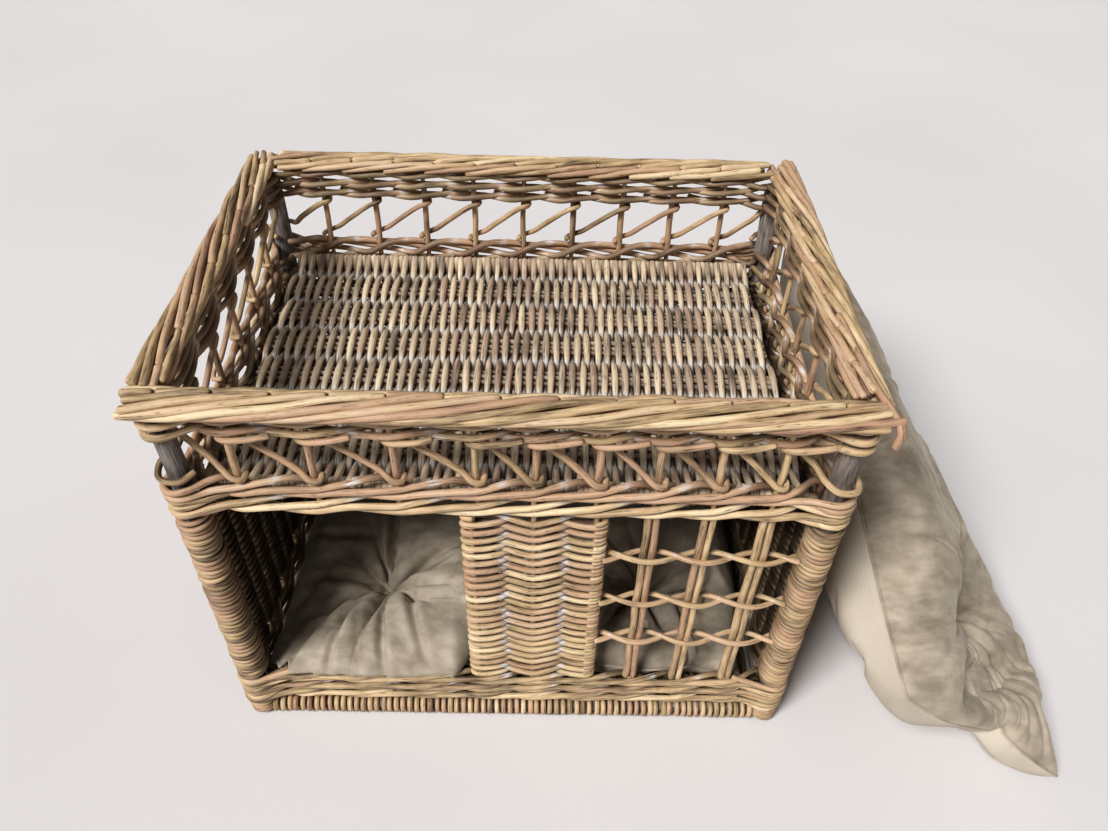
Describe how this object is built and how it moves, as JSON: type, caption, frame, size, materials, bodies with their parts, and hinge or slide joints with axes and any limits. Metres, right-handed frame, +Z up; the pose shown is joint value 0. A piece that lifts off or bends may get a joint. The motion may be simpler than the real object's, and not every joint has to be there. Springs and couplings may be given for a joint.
{
  "type": "wicker pet bed",
  "caption": "Two-level willow pet basket: woven den with an open doorway and lattice window, railed woven deck on top, and two tufted velvet cushions.",
  "frame": {"origin": "on the underside of the woven floor, at the centre of the basket's plan", "axes": "+Z up, -Y towards the doorway side (front), +X to the right seen from the front, where the second cushion leans"},
  "size_m": [1.0574, 0.6576, 0.562],
  "materials": {
    "willow": "peeled and part-stained willow rods with a thin whitewash, satin",
    "deck_willow": "greyed, whitewashed willow rods, matt",
    "post_wood": "weathered grey round poles, matt",
    "velvet": "taupe short-pile velvet with a soft sheen",
    "canvas": "cream plain-weave cotton canvas",
    "filling": "white polyester fibre filling, inside the covers"
  },
  "bodies": {
    "basket": {"post_front_left": "post_wood", "post_front_right": "post_wood", "post_back_left": "post_wood", "post_back_right": "post_wood", "base_bar_front": "post_wood", "base_bar_back": "post_wood", "base_bar_left": "post_wood", "base_bar_right": "post_wood", "deck_bar_front": "post_wood", "deck_bar_back": "post_wood", "post_wrap_front_left": "willow", "post_wrap_front_right": "willow", "post_wrap_back_left": "willow", "post_wrap_back_right": "willow", "floor_weave": "willow", "deck_weave": "deck_willow", "wall_back": "willow", "wall_left": "willow", "wall_right": "willow", "front_panel": "willow", "sill_band_front": "willow", "sill_band_back": "willow", "sill_band_left": "willow", "sill_band_right": "willow", "deck_band_front": "willow", "deck_band_back": "willow", "deck_band_left": "willow", "deck_band_right": "willow", "rail_band_front": "willow", "rail_band_back": "willow", "rail_band_left": "willow", "rail_band_right": "willow", "rim_border_front": "willow", "rim_border_back": "willow", "rim_border_left": "willow", "rim_border_right": "willow", "rail_lattice_front": "willow", "rail_lattice_back": "willow", "rail_lattice_left": "willow", "rail_lattice_right": "willow", "window_stake_1a": "willow", "window_stake_1b": "willow", "window_stake_2a": "willow", "window_stake_2b": "willow", "window_stake_3a": "willow", "window_stake_3b": "willow", "window_weaver_top_a": "willow", "window_weaver_top_b": "willow", "window_weaver_middle_a": "willow", "window_weaver_middle_b": "willow", "window_weaver_bottom_a": "willow", "window_weaver_bottom_b": "willow"},
    "den_cushion": {"den_cushion_velvet": "velvet", "den_cushion_canvas": "canvas", "den_cushion_filling": "filling"},
    "side_cushion": {"side_cushion_velvet": "velvet", "side_cushion_canvas": "canvas", "side_cushion_filling": "filling"}
  },
  "joints": [
    {"name": "den_cushion_lift", "type": "slide", "parent": "basket", "child": "den_cushion", "axis": [0, 0, 1], "range_m": [0, 0.2]},
    {"name": "side_cushion_draw", "type": "slide", "parent": "basket", "child": "side_cushion", "axis": [1, 0, 0], "range_m": [0, 0.25]}
  ]
}
